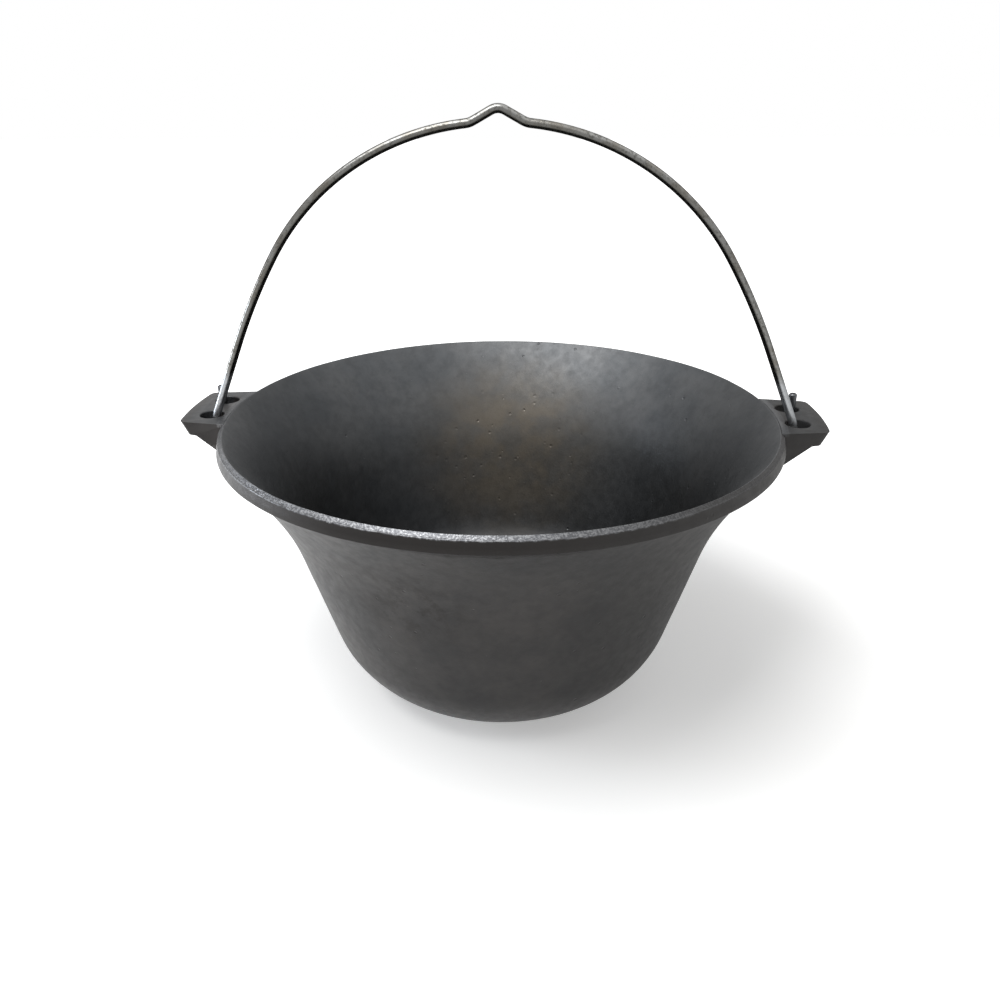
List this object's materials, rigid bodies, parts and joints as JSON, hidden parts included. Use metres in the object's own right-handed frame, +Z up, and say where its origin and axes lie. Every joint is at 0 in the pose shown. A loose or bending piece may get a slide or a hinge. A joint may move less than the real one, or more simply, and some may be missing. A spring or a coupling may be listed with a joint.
{
  "type": "cauldron",
  "caption": "Open cast iron cauldron with a flared, banded rim, a pierced lug ear on each side and a bent steel bail hooked through the ears.",
  "frame": {"origin": "middle of the flat base, on the surface the pot stands on", "axes": "+Z up along the pot's axis; the two ears lie along X; the front, where the bail enters its holes, is towards -Y"},
  "size_m": [0.399, 0.3498, 0.3635],
  "materials": {
    "cast_iron": "matte sand-cast, dark grey, rim land ground bright",
    "bail_rod": "drawn rod with a dark oiled patina, bare at the hooks"
  },
  "bodies": {
    "pot": {"pot": "cast_iron"},
    "bail": {"bail": "bail_rod"}
  },
  "joints": [
    {"name": "bail_swing", "type": "hinge", "parent": "pot", "child": "bail", "pos_m": [0, 0, 0.182], "axis": [1, 0, 0], "range_deg": [-92, 14]}
  ]
}
